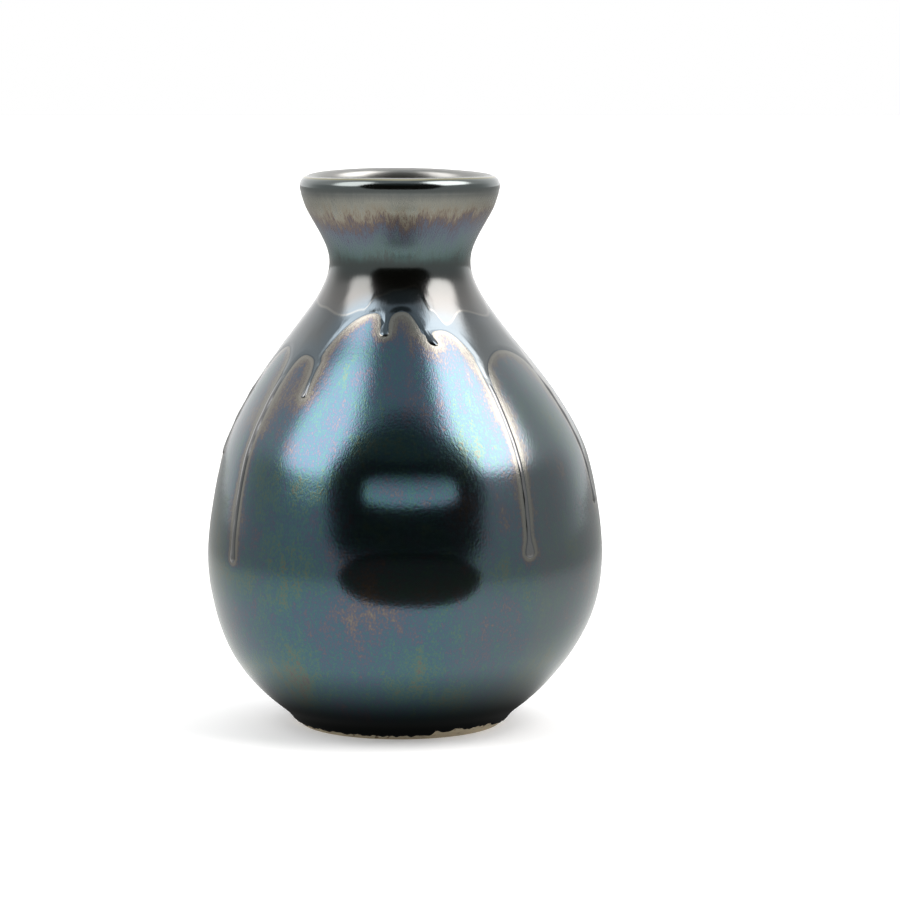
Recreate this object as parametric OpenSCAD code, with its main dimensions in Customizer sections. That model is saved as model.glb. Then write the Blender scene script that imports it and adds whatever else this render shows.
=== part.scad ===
// Sake bottle (tokkuri): a thrown stoneware body with a turned foot, a liner glaze inside,
// an iridescent base glaze outside, and a second glaze over the neck and shoulder whose lower
// edge stands in arches, with a run of glaze hanging from each foot of an arch.
// The table is z = 0 and the axis of the bottle is the Z axis. Directions round the bottle are
// measured from the front, which is -Y, and turn towards +X.

/* [Body] */
// Height from the table to the top of the rim
height = 140; // [115:1:170]
// Largest radius of the belly
belly_r = 50.6; // [42:0.1:61]
// Height of the largest radius above the table
belly_z = 43.8; // [36:0.1:53]
// How far the shoulder has come in from the belly
shoulder_inset = 5.4; // [4:0.1:7]
// Depth of the shoulder point below the rim
shoulder_drop = 66.9; // [56:0.1:70]
// Lean of the shoulder from upright, in degrees
shoulder_lean = 24; // [19:1:29]

/* [Neck and lip] */
// Radius of the neck at its waist
neck_r = 17.3; // [14:0.1:22]
// Depth of the waist below the rim
neck_drop = 21.7; // [17:0.1:27]
// Radius of the lip at its widest
lip_r = 25.2; // [20:0.1:31]
// Thickness of the lip, which is rounded over
lip_t = 4.1; // [3:0.1:5.2]
// Height of the lip's upright band, from its lower edge to the middle of its rounding
lip_band = 2.4; // [1.5:0.1:3.5]

/* [Foot and walls] */
// Radius of the foot where it stands on the table
foot_r = 26.5; // [22:0.1:32]
// Height of the turned foot
foot_h = 3.6; // [3:0.1:5]
// How far the foot flares out over its height
foot_flare = 2.8; // [1.5:0.1:4]
// Chamfer on the outer edge of the foot
foot_chamfer = 0.5; // [0.2:0.1:0.9]
// Width of the ring that the bottle stands on
foot_ring = 6; // [4:0.1:8]
// Depth of the hollow under the foot
foot_hollow = 3; // [1.5:0.1:4.5]
// Thickness of the clay floor
floor_t = 5; // [4:0.1:7]
// Thickness of the clay wall
wall_t = 3.2; // [2.6:0.1:4]

/* [Glaze coats] */
// Thickness of the base glaze outside
base_t = 0.5; // [0.3:0.05:0.7]
// Thickness of the liner glaze inside
liner_t = 0.4; // [0.3:0.05:0.6]
// Thickness of the second glaze over the base glaze
second_t = 0.4; // [0.25:0.05:0.6]
// Height of bare clay below the base glaze
bare_clay = 1.4; // [0.9:0.1:2.2]
// Depth of the second glaze's dip below the rim
dip_depth = 49; // [44:0.5:54]

/* [Glaze runs] */
// Width of a run
run_w = 1.8; // [1.2:0.1:2.4]
// Thickness of a run over the base glaze
run_t = 0.7; // [0.45:0.05:1]
// Diameter of the bead at the end of a run
bead_d = 2.6; // [1.8:0.1:3.4]
// Front left run: direction
front_left_az = -59; // [-63:0.5:-55]
// Front left run: length
front_left_len = 46; // [36:0.5:56]
// Front left stub: direction
left_stub_az = -41; // [-45:0.5:-37]
// Front left stub: length
left_stub_len = 4.5; // [3:0.5:8]
// Centre stub: direction
centre_stub_az = -9; // [-12:0.5:-6]
// Centre stub: length
centre_stub_len = 3.5; // [2:0.5:6]
// Slanted stub: direction of its root
slant_stub_az = 11; // [8:0.5:14]
// Slanted stub: length
slant_stub_len = 7; // [5:0.5:9]
// Slanted stub: lean towards +X, in degrees
slant_stub_lean = 38; // [20:1:45]
// Height of the centre and slanted stubs' roots above the dip line
stub_root = 14; // [11:0.5:14.5]
// Front right run: direction
front_right_az = 38; // [34:0.5:42]
// Front right run: length
front_right_len = 43; // [34:0.5:52]
// Right side run: direction
right_side_az = 78; // [74:0.5:82]
// Right side run: length
right_side_len = 33.5; // [24:0.5:43]
// Back right stub: direction
back_right_stub_az = 112; // [108:0.5:116]
// Back right stub: length
back_right_stub_len = 12; // [6:0.5:18]
// Back right run: direction
back_right_az = 146; // [141:0.5:150]
// Back right run: length
back_right_len = 38; // [28:0.5:48]
// Back stub: direction
back_stub_az = 172; // [168:0.5:177]
// Back stub: length
back_stub_len = 6; // [3:0.5:12]
// Back left run: direction
back_left_az = 203; // [198:0.5:208]
// Back left run: length
back_left_len = 27; // [18:0.5:36]
// Back left stub: direction
back_left_stub_az = 240; // [235:0.5:245]
// Back left stub: length
back_left_stub_len = 18; // [10:0.5:26]
// Left side run: direction
left_side_az = 275; // [271:0.5:279]
// Left side run: length
left_side_len = 21.5; // [14:0.5:29]

/* [Arches of the second glaze] */
// Rise of the arch between the front left run and the front left stub, above the dip line
left_arch = 4.5; // [3:0.5:8]
// Rise of the arch between the front left stub and the centre stub
big_arch = 15; // [13:0.5:18]
// Rise of the arch between the centre stub and the slanted stub
centre_arch = 15.6; // [15.4:0.1:18]
// Rise of the arch between the slanted stub and the front right run
slant_arch = 12.5; // [10:0.5:15]
// Rise of the arch between the front right run and the right side run
right_arch = 6; // [4:0.5:10]
// Rise of the arch between the right side run and the back right stub
right_back_arch = 8; // [5:0.5:11]
// Rise of the arch between the back right stub and the back right run
back_right_arch = 5; // [4:0.5:9]
// Rise of the arch between the back right run and the back stub
back_small_arch = 7.5; // [5:0.5:10]
// Rise of the arch between the back stub and the back left run
back_arch = 6; // [4:0.5:10]
// Rise of the arch between the back left run and the back left stub
back_left_arch = 9; // [6:0.5:12]
// Rise of the arch between the back left stub and the left side run
left_back_arch = 7; // [5:0.5:10]
// Rise of the arch between the left side run and the front left run
left_side_arch = 6; // [4:0.5:9]

/* [Hidden] */
$fn = 96;

clay_colour = [0.66, 0.58, 0.45];
liner_colour = [0.08, 0.08, 0.09];
base_colour = [0.30, 0.40, 0.45];
second_colour = [0.25, 0.23, 0.24];
run_colour = [0.12, 0.18, 0.32];

// Straight steps in each stretch of an outline, and in the rounding of the lip
steps = 8;
lip_steps = 5;
// Sides of an arch's half-round top, an odd number so that none of its corners is at the crown
arch_sides = 15;
// Lean of the outline just above the foot, and of the lip's band, from upright, in degrees
foot_lean = 55;
band_lean = 16;

dip_z = height - dip_depth;
lip_z = height - lip_t / 2;
neck_z = height - neck_drop;
shoulder_z = height - shoulder_drop;
shoulder_r = belly_r - shoulder_inset;
wall = base_t + wall_t + liner_t;
floor_z = foot_hollow + floor_t + liner_t;
// The flat of the floor ends this far inside the foot
floor_edge = foot_r - 2.5;
reach = belly_r + 2 * run_t + 5;

// A station of an outline is [radius, height, lean from upright, pull before, pull after]:
// the pulls say how far the curve holds the station's lean on either side.
outer_stations = [
    [foot_r, 0, 38, 1, 1],
    [foot_r + foot_flare, foot_h, foot_lean, 0.3, 0.9],
    [belly_r, belly_z, 0, 1.3, 0.7],
    [shoulder_r, shoulder_z, -shoulder_lean, 0.6, 1.44],
    [neck_r, neck_z, 0, 0.63, 0.88],
    [lip_r - 0.35, lip_z - lip_band, band_lean, 0.9, 1],
    [lip_r, lip_z, 0, 1, 1]
];

// The wall's inner face keeps the outer face's stations, moved in by the wall's thickness.
function moved_in(s, d) = [s[0] - d * cos(s[2]), s[1] + d * sin(s[2]), s[2], s[3], s[4]];
inner_stations = [
    [floor_edge, floor_z, 90, 1, 0.9],
    [belly_r - wall, belly_z, 0, 1, 0.7],
    moved_in(outer_stations[3], wall),
    [neck_r - wall, neck_z, 0, 0.63, 0.88],
    [lip_r - lip_t - 0.35, lip_z - lip_band, band_lean, 0.9, 1],
    [lip_r - lip_t, lip_z, 0, 1, 1]
];

// Cubic curve from one station to the next, at u between 0 and 1
function curve(a, b, u) =
    let (span = norm([b[0] - a[0], b[1] - a[1]]))
    let (out = span * a[4] * [sin(a[2]), cos(a[2])])
    let (in = span * b[3] * [sin(b[2]), cos(b[2])])
    (2 * u^3 - 3 * u^2 + 1) * [a[0], a[1]] + (u^3 - 2 * u^2 + u) * out
    + (3 * u^2 - 2 * u^3) * [b[0], b[1]] + (u^3 - u^2) * in;

// All the points of an outline, from its first station to just before its last
function outline(s) = [for (i = [0 : len(s) - 2]) for (k = [0 : steps - 1]) curve(s[i], s[i + 1], k / steps)];

// Half of the rounding of the lip: from the outer side (dir 1) or the inner side (dir -1) up to the top
function lip_round(dir) = [
    for (k = [0 : lip_steps])
        let (a = 90 * k / lip_steps)
        [lip_r - lip_t / 2 + dir * lip_t / 2 * cos(a), lip_z + lip_t / 2 * sin(a)]
];

// Outline points moved sideways by d, to the right of their direction of travel
function moved(pts, d) = [
    for (i = [0 : len(pts) - 1])
        let (before = pts[max(i - 1, 0)], after = pts[min(i + 1, len(pts) - 1)])
        let (way = (after - before) / norm(after - before))
        pts[i] + d * [way[1], -way[0]]
];
function reversed(pts) = [for (i = [len(pts) - 1 : -1 : 0]) pts[i]];
function from(pts, first) = [for (i = [first : len(pts) - 1]) pts[i]];

// Faces of the body: the outside of the base glaze and the inside of the liner glaze run from
// the foot or the floor up to the top of the lip.
outer_face = concat(outline(outer_stations), lip_round(1));
inner_face = concat([[0, floor_z]], outline(inner_stations), lip_round(-1));
// The base glaze starts at the first outline point above the bare clay.
glaze_start = len([for (p = outer_face) if (p[1] < bare_clay) p]);
clay_outer = moved(outer_face, -base_t);
clay_inner = concat([[0, floor_z - liner_t]], from(moved(inner_face, liner_t), 1));
top = len(outer_face) - 1;
clay_top = [lip_r - lip_t / 2, height - base_t];

// Radius of the base glaze's outside at a height
function face_r(z) = lookup(z, [for (p = outer_face) [p[1], p[0]]]);

// Runs as [direction, root height], in order round the bottle from the front left
run_feet = [
    [front_left_az, dip_z], [left_stub_az, dip_z],
    [centre_stub_az, dip_z + stub_root], [slant_stub_az, dip_z + stub_root],
    [front_right_az, dip_z], [right_side_az, dip_z],
    [back_right_stub_az, dip_z], [back_right_az, dip_z],
    [back_stub_az, dip_z], [back_left_az, dip_z],
    [back_left_stub_az, dip_z], [left_side_az, dip_z],
    [front_left_az + 360, dip_z]
];
arch_rises = [
    left_arch, big_arch, centre_arch, slant_arch, right_arch, right_back_arch,
    back_right_arch, back_small_arch, back_arch, back_left_arch, left_back_arch, left_side_arch
];

// Stands a flat shape up against the bottle in a direction: its x runs sideways and its y is height.
module toward(az) {
    rotate([0, 0, az])
        rotate([90, 0, 0])
            linear_extrude(reach)
                children();
}

// Layer between two distances from the base glaze's outside, from a height up to the lip's band
module layer(inner, outer, start = bare_clay) {
    first = from(moved(outer_face, inner), glaze_start);
    last = from(moved(outer_face, outer), glaze_start);
    count = len(first) - lip_steps;
    rotate_extrude()
        difference() {
            polygon(concat(
                [for (i = [0 : count - 1]) first[i]],
                [for (i = [count - 1 : -1 : 0]) last[i]]
            ));
            square([reach, start]);
        }
}

// Opening under one arch: a half-round top and straight sides, between two neighbouring runs
module arch(left, right, rise) {
    crown = dip_z + rise;
    half = face_r(crown - 5) * sin((right[0] - left[0]) / 2) - run_w / 2;
    toward((left[0] + right[0]) / 2)
        polygon(concat(
            [[half, dip_z - 2 * half]],
            [for (k = [0 : arch_sides]) half_round(crown, half, 180 * k / arch_sides)],
            [[-half, dip_z - 2 * half]]
        ));
}
function half_round(crown, half, a) = [half * cos(a), crown - half + half * sin(a)];

// Opening under a run that hangs from a root above the dip line
module root_clearance(foot) {
    if (foot[1] > dip_z)
        toward(foot[0])
            translate([-2 * run_w, dip_z - 1])
                square([4 * run_w, foot[1] - dip_z + 1]);
}

// The second glaze with its first arches opened, one after another
module curtain(count) {
    if (count == 0)
        layer(0, second_t, dip_z);
    else
        difference() {
            curtain(count - 1);
            arch(run_feet[count - 1], run_feet[count], arch_rises[count - 1]);
            root_clearance(run_feet[count - 1]);
        }
}

// A run: a strip with a round bead at its lower end, cut level at its root
module glaze_run(az, root, length, lean = 0) {
    intersection() {
        layer(0, run_t);
        toward(az)
            difference() {
                translate([0, root])
                    rotate(lean) {
                        translate([-run_w / 2, -length + bead_d / 2])
                            square([run_w, length + run_w]);
                        translate([0, -length + bead_d / 2])
                            circle(d = bead_d, $fn = 32);
                    }
                translate([-reach, root])
                    square([2 * reach, height]);
            }
    }
}

module clay_body() {
    color(clay_colour)
        rotate_extrude()
            polygon(concat(
                [
                    [0, foot_hollow],
                    [foot_r - foot_ring - 1, foot_hollow],
                    [foot_r - foot_ring, 0],
                    [foot_r - foot_chamfer, 0]
                ],
                [for (i = [0 : top - 1]) if (clay_outer[i][1] > foot_chamfer) clay_outer[i]],
                [clay_top],
                [for (i = [len(clay_inner) - 2 : -1 : 0]) clay_inner[i]]
            ));
}

module liner_glaze() {
    color(liner_colour)
        rotate_extrude()
            polygon(concat(
                [for (i = [0 : len(clay_inner) - 2]) clay_inner[i]],
                [clay_top, inner_face[len(inner_face) - 1]],
                reversed([for (i = [0 : len(inner_face) - 2]) inner_face[i]])
            ));
}

module base_glaze() {
    color(base_colour)
        rotate_extrude()
            polygon(concat(
                from(outer_face, glaze_start),
                [clay_top],
                reversed([for (i = [glaze_start : top - 1]) clay_outer[i]])
            ));
}

module shoulder_glaze() {
    color(second_colour)
        curtain(len(arch_rises));
}

module run_front_left() {
    color(run_colour)
        glaze_run(front_left_az, dip_z, front_left_len);
}

module stub_front_left() {
    color(run_colour)
        glaze_run(left_stub_az, dip_z, left_stub_len);
}

module stub_centre() {
    color(run_colour)
        glaze_run(centre_stub_az, dip_z + stub_root, centre_stub_len);
}

module stub_slanted() {
    color(run_colour)
        glaze_run(slant_stub_az, dip_z + stub_root, slant_stub_len, slant_stub_lean);
}

module run_front_right() {
    color(run_colour)
        glaze_run(front_right_az, dip_z, front_right_len);
}

module run_right_side() {
    color(run_colour)
        glaze_run(right_side_az, dip_z, right_side_len);
}

module stub_back_right() {
    color(run_colour)
        glaze_run(back_right_stub_az, dip_z, back_right_stub_len);
}

module run_back_right() {
    color(run_colour)
        glaze_run(back_right_az, dip_z, back_right_len);
}

module stub_back() {
    color(run_colour)
        glaze_run(back_stub_az, dip_z, back_stub_len);
}

module run_back_left() {
    color(run_colour)
        glaze_run(back_left_az, dip_z, back_left_len);
}

module stub_back_left() {
    color(run_colour)
        glaze_run(back_left_stub_az, dip_z, back_left_stub_len);
}

module run_left_side() {
    color(run_colour)
        glaze_run(left_side_az, dip_z, left_side_len);
}

clay_body();
liner_glaze();
base_glaze();
shoulder_glaze();
run_front_left();
stub_front_left();
stub_centre();
stub_slanted();
run_front_right();
run_right_side();
stub_back_right();
run_back_right();
stub_back();
run_back_left();
stub_back_left();
run_left_side();
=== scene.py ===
"""A hand-thrown stoneware sake bottle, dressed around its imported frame.

The clay, the coats of glaze and every run of glaze are surfaces of revolution or ridges that are
worked out with numpy in millimetres and written in metres. Directions round the bottle are azimuths
in degrees from the front, which is -Y, and they turn towards +X.
"""

import logging
import math
from dataclasses import astuple, dataclass, field
from enum import Enum
from typing import Any, ClassVar

import bpy
import numpy as np
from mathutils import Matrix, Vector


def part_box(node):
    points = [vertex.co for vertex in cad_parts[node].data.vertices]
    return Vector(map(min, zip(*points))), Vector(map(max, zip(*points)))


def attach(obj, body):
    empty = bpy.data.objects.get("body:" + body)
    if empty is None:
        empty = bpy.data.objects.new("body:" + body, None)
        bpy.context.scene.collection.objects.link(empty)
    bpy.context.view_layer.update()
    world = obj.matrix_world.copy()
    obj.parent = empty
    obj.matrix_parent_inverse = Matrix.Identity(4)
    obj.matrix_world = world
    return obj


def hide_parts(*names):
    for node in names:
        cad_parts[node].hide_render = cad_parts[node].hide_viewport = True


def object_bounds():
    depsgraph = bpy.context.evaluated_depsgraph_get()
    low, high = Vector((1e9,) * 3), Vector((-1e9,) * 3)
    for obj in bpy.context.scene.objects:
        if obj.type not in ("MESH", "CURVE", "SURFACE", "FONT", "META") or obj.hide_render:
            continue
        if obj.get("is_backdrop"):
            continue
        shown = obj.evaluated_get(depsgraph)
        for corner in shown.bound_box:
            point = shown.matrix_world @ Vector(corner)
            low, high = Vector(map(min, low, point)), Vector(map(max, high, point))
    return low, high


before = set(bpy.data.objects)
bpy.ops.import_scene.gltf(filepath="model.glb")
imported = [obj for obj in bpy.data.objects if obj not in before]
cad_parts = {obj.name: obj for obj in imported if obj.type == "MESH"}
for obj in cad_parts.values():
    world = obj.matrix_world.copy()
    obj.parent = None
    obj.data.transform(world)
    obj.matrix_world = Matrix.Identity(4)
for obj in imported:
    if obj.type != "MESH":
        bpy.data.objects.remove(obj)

logging.basicConfig(level=logging.INFO, format="%(message)s")
LOG = logging.getLogger("sake_bottle")

MM = 0.001
BODY = "root"
Array = np.ndarray
Colour = tuple[float, float, float]
Scale = tuple[float, float, float]


# ---------------------------------------------------------------------------------- small maths

def smoothstep(x: Array, low: float, high: float) -> Array:
    """Rises from 0 at low to 1 at high along the cubic 3t^2 - 2t^3, where t is the share of the way."""
    t = np.clip((x - low) / (high - low), 0.0, 1.0)
    return t * t * (3.0 - 2.0 * t)


def bump(x: Array, centre: float, width: float) -> Array:
    """A bell: the exponential of minus the square of the distance from the centre over the width."""
    return np.exp(-(((x - centre) / width) ** 2))


def smooth_max(a: Array, b: Array, blend: float) -> Array:
    """The larger of a and b, rounded over where they differ by less than blend."""
    h = np.clip(0.5 + 0.5 * (a - b) / blend, 0.0, 1.0)
    return b + (a - b) * h + blend * h * (1.0 - h)


def turned(azimuth: Array, radius: Array) -> tuple[Array, Array]:
    """The x and y of points at an azimuth in degrees and a radius."""
    a = np.radians(azimuth)
    return radius * np.sin(a), -radius * np.cos(a)


def wrapped(angle: Array) -> Array:
    """The same angle in degrees, between -180 and 180."""
    return (angle + 180.0) % 360.0 - 180.0


def azimuths(count: int) -> Array:
    """A row of evenly spaced azimuths once round the bottle."""
    return np.linspace(-180.0, 180.0, count, endpoint=False)[None, :]


def quarter_round(t: Array) -> Array:
    """Height of a quarter circle of radius 1 at a way t in from its edge: root of 1 - (1 - t)^2."""
    return np.sqrt(np.clip(1.0 - (1.0 - t) ** 2, 0.0, 1.0))


def periodic(azimuth: Array, knots: tuple[tuple[float, float], ...]) -> Array:
    """A smooth closed curve through (azimuth, value) knots: a cosine ease from each knot to the next."""
    angle = np.array([k[0] for k in knots] + [knots[0][0] + 360.0])
    value = np.array([k[1] for k in knots] + [knots[0][1]])
    a = (azimuth - angle[0]) % 360.0 + angle[0]
    i = np.clip(np.searchsorted(angle, a, side="right") - 1, 0, len(knots) - 1)
    t = (a - angle[i]) / (angle[i + 1] - angle[i])
    return value[i] + (value[i + 1] - value[i]) * (0.5 - 0.5 * np.cos(np.pi * t))


# ---------------------------------------------------------------------------------- the outline

@dataclass(frozen=True)
class Station:
    """One point of an outline, in millimetres and degrees.

    lean is the outline's lean from upright, outwards on the way up; before and after are how far
    the curve holds that lean on either side.
    """

    radius: float
    height: float
    lean: float
    before: float = 1.0
    after: float = 1.0

    def moved_in(self, distance: float) -> "Station":
        """The station moved square to the outline, towards the axis."""
        a = math.radians(self.lean)
        return Station(self.radius - distance * math.cos(a), self.height + distance * math.sin(a),
                       self.lean, self.before, self.after)


class Outline:
    """A smooth (radius, height) line, read by its arc length in millimetres."""

    STEP = 0.2
    NEIGHBOURS = 40

    def __init__(self, points: Array, soften: list[tuple[float, float]]) -> None:
        """Resamples the points evenly and softens them.

        Args:
            points: rows of radius and height, from the bottom up.
            soften: (height, reach) knots: how far the line is averaged along itself, by height.
        """
        along = np.concatenate([[0.0], np.cumsum(np.hypot(*np.diff(points, axis=0).T))])
        even = np.linspace(0.0, along[-1], int(along[-1] / self.STEP) + 1)
        line = np.stack([np.interp(even, along, points[:, k]) for k in (0, 1)], axis=1)
        reach = np.interp(line[:, 1], *zip(*soften))
        self.line = self._softened(line, reach)
        self.s = np.concatenate([[0.0], np.cumsum(np.hypot(*np.diff(self.line, axis=0).T))])
        self.length = float(self.s[-1])
        way = np.gradient(self.line, self.s, axis=0)
        way /= np.linalg.norm(way, axis=1, keepdims=True)
        self.normal_line = np.stack([way[:, 1], -way[:, 0]], axis=1)

    def _softened(self, line: Array, reach: Array) -> Array:
        """Weighted mean of each point and its neighbours, a bell of the given reach; the ends stay."""
        index = np.arange(len(line))
        span = np.minimum(index, index[::-1])
        sigma = np.minimum(reach / self.STEP, span / 2.5 + 1e-6)[:, None]
        offset = np.arange(-self.NEIGHBOURS, self.NEIGHBOURS + 1)[None, :]
        weight = np.exp(-0.5 * (offset / np.maximum(sigma, 1e-3)) ** 2)
        weight /= weight.sum(axis=1, keepdims=True)
        near = np.clip(index[:, None] + offset, 0, len(line) - 1)
        return np.einsum("ij,ijk->ik", weight, line[near])

    def at(self, s: Array) -> tuple[Array, Array]:
        """Radius and height at an arc length."""
        return np.interp(s, self.s, self.line[:, 0]), np.interp(s, self.s, self.line[:, 1])

    def normal(self, s: Array) -> tuple[Array, Array]:
        """Outward normal at an arc length, as its radial and upward parts."""
        out, up = self.normal_line.T
        return np.interp(s, self.s, out), np.interp(s, self.s, up)

    def s_at(self, height: Array | float) -> Array:
        """Arc length at a height, on an outline that only rises."""
        return np.interp(height, self.line[:, 1], self.s)


@dataclass(frozen=True)
class BottleForm:
    """The thrown form of the bottle in millimetres, the same one that the frame was turned from."""

    height: float
    belly_r: float
    belly_z: float = 43.8
    shoulder_inset: float = 5.4
    shoulder_drop: float = 66.9
    shoulder_lean: float = 24.0
    neck_r: float = 17.3
    neck_drop: float = 21.7
    lip_r: float = 25.2
    lip_t: float = 4.1
    lip_band: float = 2.4
    band_lean: float = 16.0
    foot_r: float = 26.5
    foot_h: float = 3.6
    foot_flare: float = 2.8
    foot_lean: float = 55.0
    foot_chamfer: float = 0.5
    foot_ring: float = 6.0
    foot_hollow: float = 3.0
    floor_t: float = 5.0
    floor_inset: float = 2.5
    wall_t: float = 3.2
    base_t: float = 0.5
    liner_t: float = 0.4
    second_t: float = 0.4
    lip_turn: float = 0.35
    lip_roll: float = 0.3
    lip_roll_drop: float = 1.3
    lip_roll_width: float = 1.9

    @property
    def lip_z(self) -> float:
        """Height of the middle of the lip's rounding."""
        return self.height - self.lip_t / 2

    @property
    def wall(self) -> float:
        """Thickness of the wall with both coats."""
        return self.base_t + self.wall_t + self.liner_t

    @property
    def floor_z(self) -> float:
        """Height of the glazed floor inside."""
        return self.foot_hollow + self.floor_t + self.liner_t

    def stations(self) -> list[Station]:
        """Stations of the outside of the base glaze, from the table to the lip."""
        return [
            Station(self.foot_r, 0.0, 38.0),
            Station(self.foot_r + self.foot_flare, self.foot_h, self.foot_lean, 0.3, 0.9),
            Station(self.belly_r, self.belly_z, 0.0, 1.3, 0.7),
            Station(self.belly_r - self.shoulder_inset, self.height - self.shoulder_drop,
                    -self.shoulder_lean, 0.6, 1.44),
            Station(self.neck_r, self.height - self.neck_drop, 0.0, 0.63, 0.88),
            Station(self.lip_r - self.lip_turn, self.lip_z - self.lip_band, self.band_lean, 0.9, 1.0),
            Station(self.lip_r, self.lip_z, 0.0),
        ]

    def inner_stations(self) -> list[Station]:
        """Stations of the inside of the liner glaze, from the edge of the floor to the lip."""
        outer = self.stations()
        return [
            Station(self.foot_r - self.floor_inset, self.floor_z, 90.0, 1.0, 0.9),
            Station(self.belly_r - self.wall, self.belly_z, 0.0, 1.0, 0.7),
            outer[3].moved_in(self.wall),
            Station(self.neck_r - self.wall, outer[4].height, 0.0, 0.63, 0.88),
            Station(self.lip_r - self.lip_t - self.lip_turn, outer[5].height, self.band_lean, 0.9, 1.0),
            Station(self.lip_r - self.lip_t, self.lip_z, 0.0),
        ]

    @staticmethod
    def curve(stations: list[Station], steps: int = 48) -> Array:
        """Cubic curves from station to station, each leaving and arriving along the stations' leans."""
        u = np.arange(steps)[:, None] / steps
        rows = []
        for a, b in zip(stations, stations[1:]):
            p, q = np.array([a.radius, a.height]), np.array([b.radius, b.height])
            span = np.linalg.norm(q - p)
            leave, arrive = math.radians(a.lean), math.radians(b.lean)
            out = span * a.after * np.array([math.sin(leave), math.cos(leave)])
            come = span * b.before * np.array([math.sin(arrive), math.cos(arrive)])
            rows.append((2 * u**3 - 3 * u**2 + 1) * p + (u**3 - 2 * u**2 + u) * out
                        + (3 * u**2 - 2 * u**3) * q + (u**3 - u**2) * come)
        return np.concatenate(rows)

    def lip_round(self, side: int) -> Array:
        """A quarter circle from the outer side (1) or the inner side (-1) of the lip up to its top."""
        a = np.radians(np.linspace(0.0, 90.0, 24))
        half = self.lip_t / 2
        return np.stack([self.lip_r - half + side * half * np.cos(a), self.lip_z + half * np.sin(a)], axis=1)

    def outside(self) -> Outline:
        """The outside of the base glaze, from the table to the top of the slightly rolled lip."""
        points = np.concatenate([self.curve(self.stations()), self.lip_round(1)])
        roll_z = self.lip_z - self.lip_roll_drop
        points[:, 0] += self.lip_roll * bump(points[:, 1], roll_z, self.lip_roll_width)
        return Outline(points, [
            (0.0, 0.3), (3.0, 0.9), (8.0, 1.6), (30.0, 3.0),
            (112.0, 2.4), (130.0, 1.0), (136.0, 0.9), (138.5, 0.4),
        ])

    def inside(self) -> Outline:
        """The inside of the liner glaze, from the middle of the floor to the top of the lip."""
        floor = np.array([[0.0, self.floor_z]])
        points = np.concatenate([floor, self.curve(self.inner_stations()), self.lip_round(-1)])
        return Outline(points, [(0.0, 1.0), (12.0, 2.0), (130.0, 1.2), (136.0, 0.3)])


@dataclass(frozen=True)
class ThrowersHand:
    """What the hand left in the form, in millimetres and degrees.

    The belly leans to one side, the rim is lifted and waves with a dip in it, and the wall has faint
    rings and slow swells.
    """

    belly_shift: float = 1.25
    shift_low: float = 10.0
    shift_full: float = 34.0
    shift_fade: float = 62.0
    shift_high: float = 106.0
    rim_lift: float = 0.50
    rim_dip: float = 0.20
    rim_dip_azimuth: float = 8.0
    rim_dip_width: float = 24.0
    rim_wave: float = 0.32
    rim_wave_phase: float = 75.0
    rim_low: float = 127.0
    rim_high: float = 139.0
    ring_depth: float = 0.010
    ring_pitch: float = 8.5
    swell: float = 0.12

    def wobble(self, azimuth: Array, height: Array) -> Array:
        """Distance by which the wall stands out: faint throwing rings and slow swells round the belly."""
        a = np.radians(azimuth)
        rings = self.ring_depth * np.sin(2 * np.pi * height / self.ring_pitch + 0.6 * np.sin(a + 1.0))
        swells = self.swell * (np.sin(2 * a + height / 19.0) + 0.6 * np.sin(3 * a - height / 13.0 + 2.0))
        return (rings + swells) * smoothstep(height, 3.0, 14.0) * (1.0 - smoothstep(height, 100.0, 116.0))

    def shaped(self, x: Array, y: Array, z: Array, azimuth: Array) -> Array:
        """Moves points of the true form to where the hand put them, as rows of x, y and z in metres."""
        share = smoothstep(z, self.shift_low, self.shift_full)
        share = share * (1 - smoothstep(z, self.shift_fade, self.shift_high))
        dip = self.rim_dip * bump(wrapped(azimuth - self.rim_dip_azimuth), 0.0, self.rim_dip_width)
        wave = self.rim_wave * np.sin(np.radians(2 * azimuth + self.rim_wave_phase)) - dip
        lift = (wave + self.rim_lift) * smoothstep(z, self.rim_low, self.rim_high)
        return np.stack([x + self.belly_shift * share, y, z + lift], axis=-1) * MM


class Skin:
    """Turns (azimuth, arc length, lift) into places on the bottle, lift being square to the outline."""

    DRUM_RADIUS = 40.0

    def __init__(self, outline: Outline, hand: ThrowersHand) -> None:
        """Keeps the outline and the hand's marks."""
        self.outline = outline
        self.hand = hand

    def place(self, azimuth: Array, s: Array, lift: Array | float = 0.0) -> Array:
        """Rows of x, y and z in metres: the outline's point, moved along its normal and turned."""
        radius, height = self.outline.at(s)
        out, up = self.outline.normal(s)
        lift = lift + self.hand.wobble(azimuth, height)
        radius, height = radius + out * lift, height + up * lift
        x, y = turned(azimuth, radius)
        return self.hand.shaped(x, y, height, azimuth)

    def unrolled(self, azimuth: Array, s: Array) -> Array:
        """A seamless place on the surface for patterns: on an even drum, at the height of the arc length."""
        x, y = turned(azimuth, np.full_like(s, self.DRUM_RADIUS))
        return np.stack([x, y, s], axis=-1)


# ------------------------------------------------------------------------------------- meshes

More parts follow.
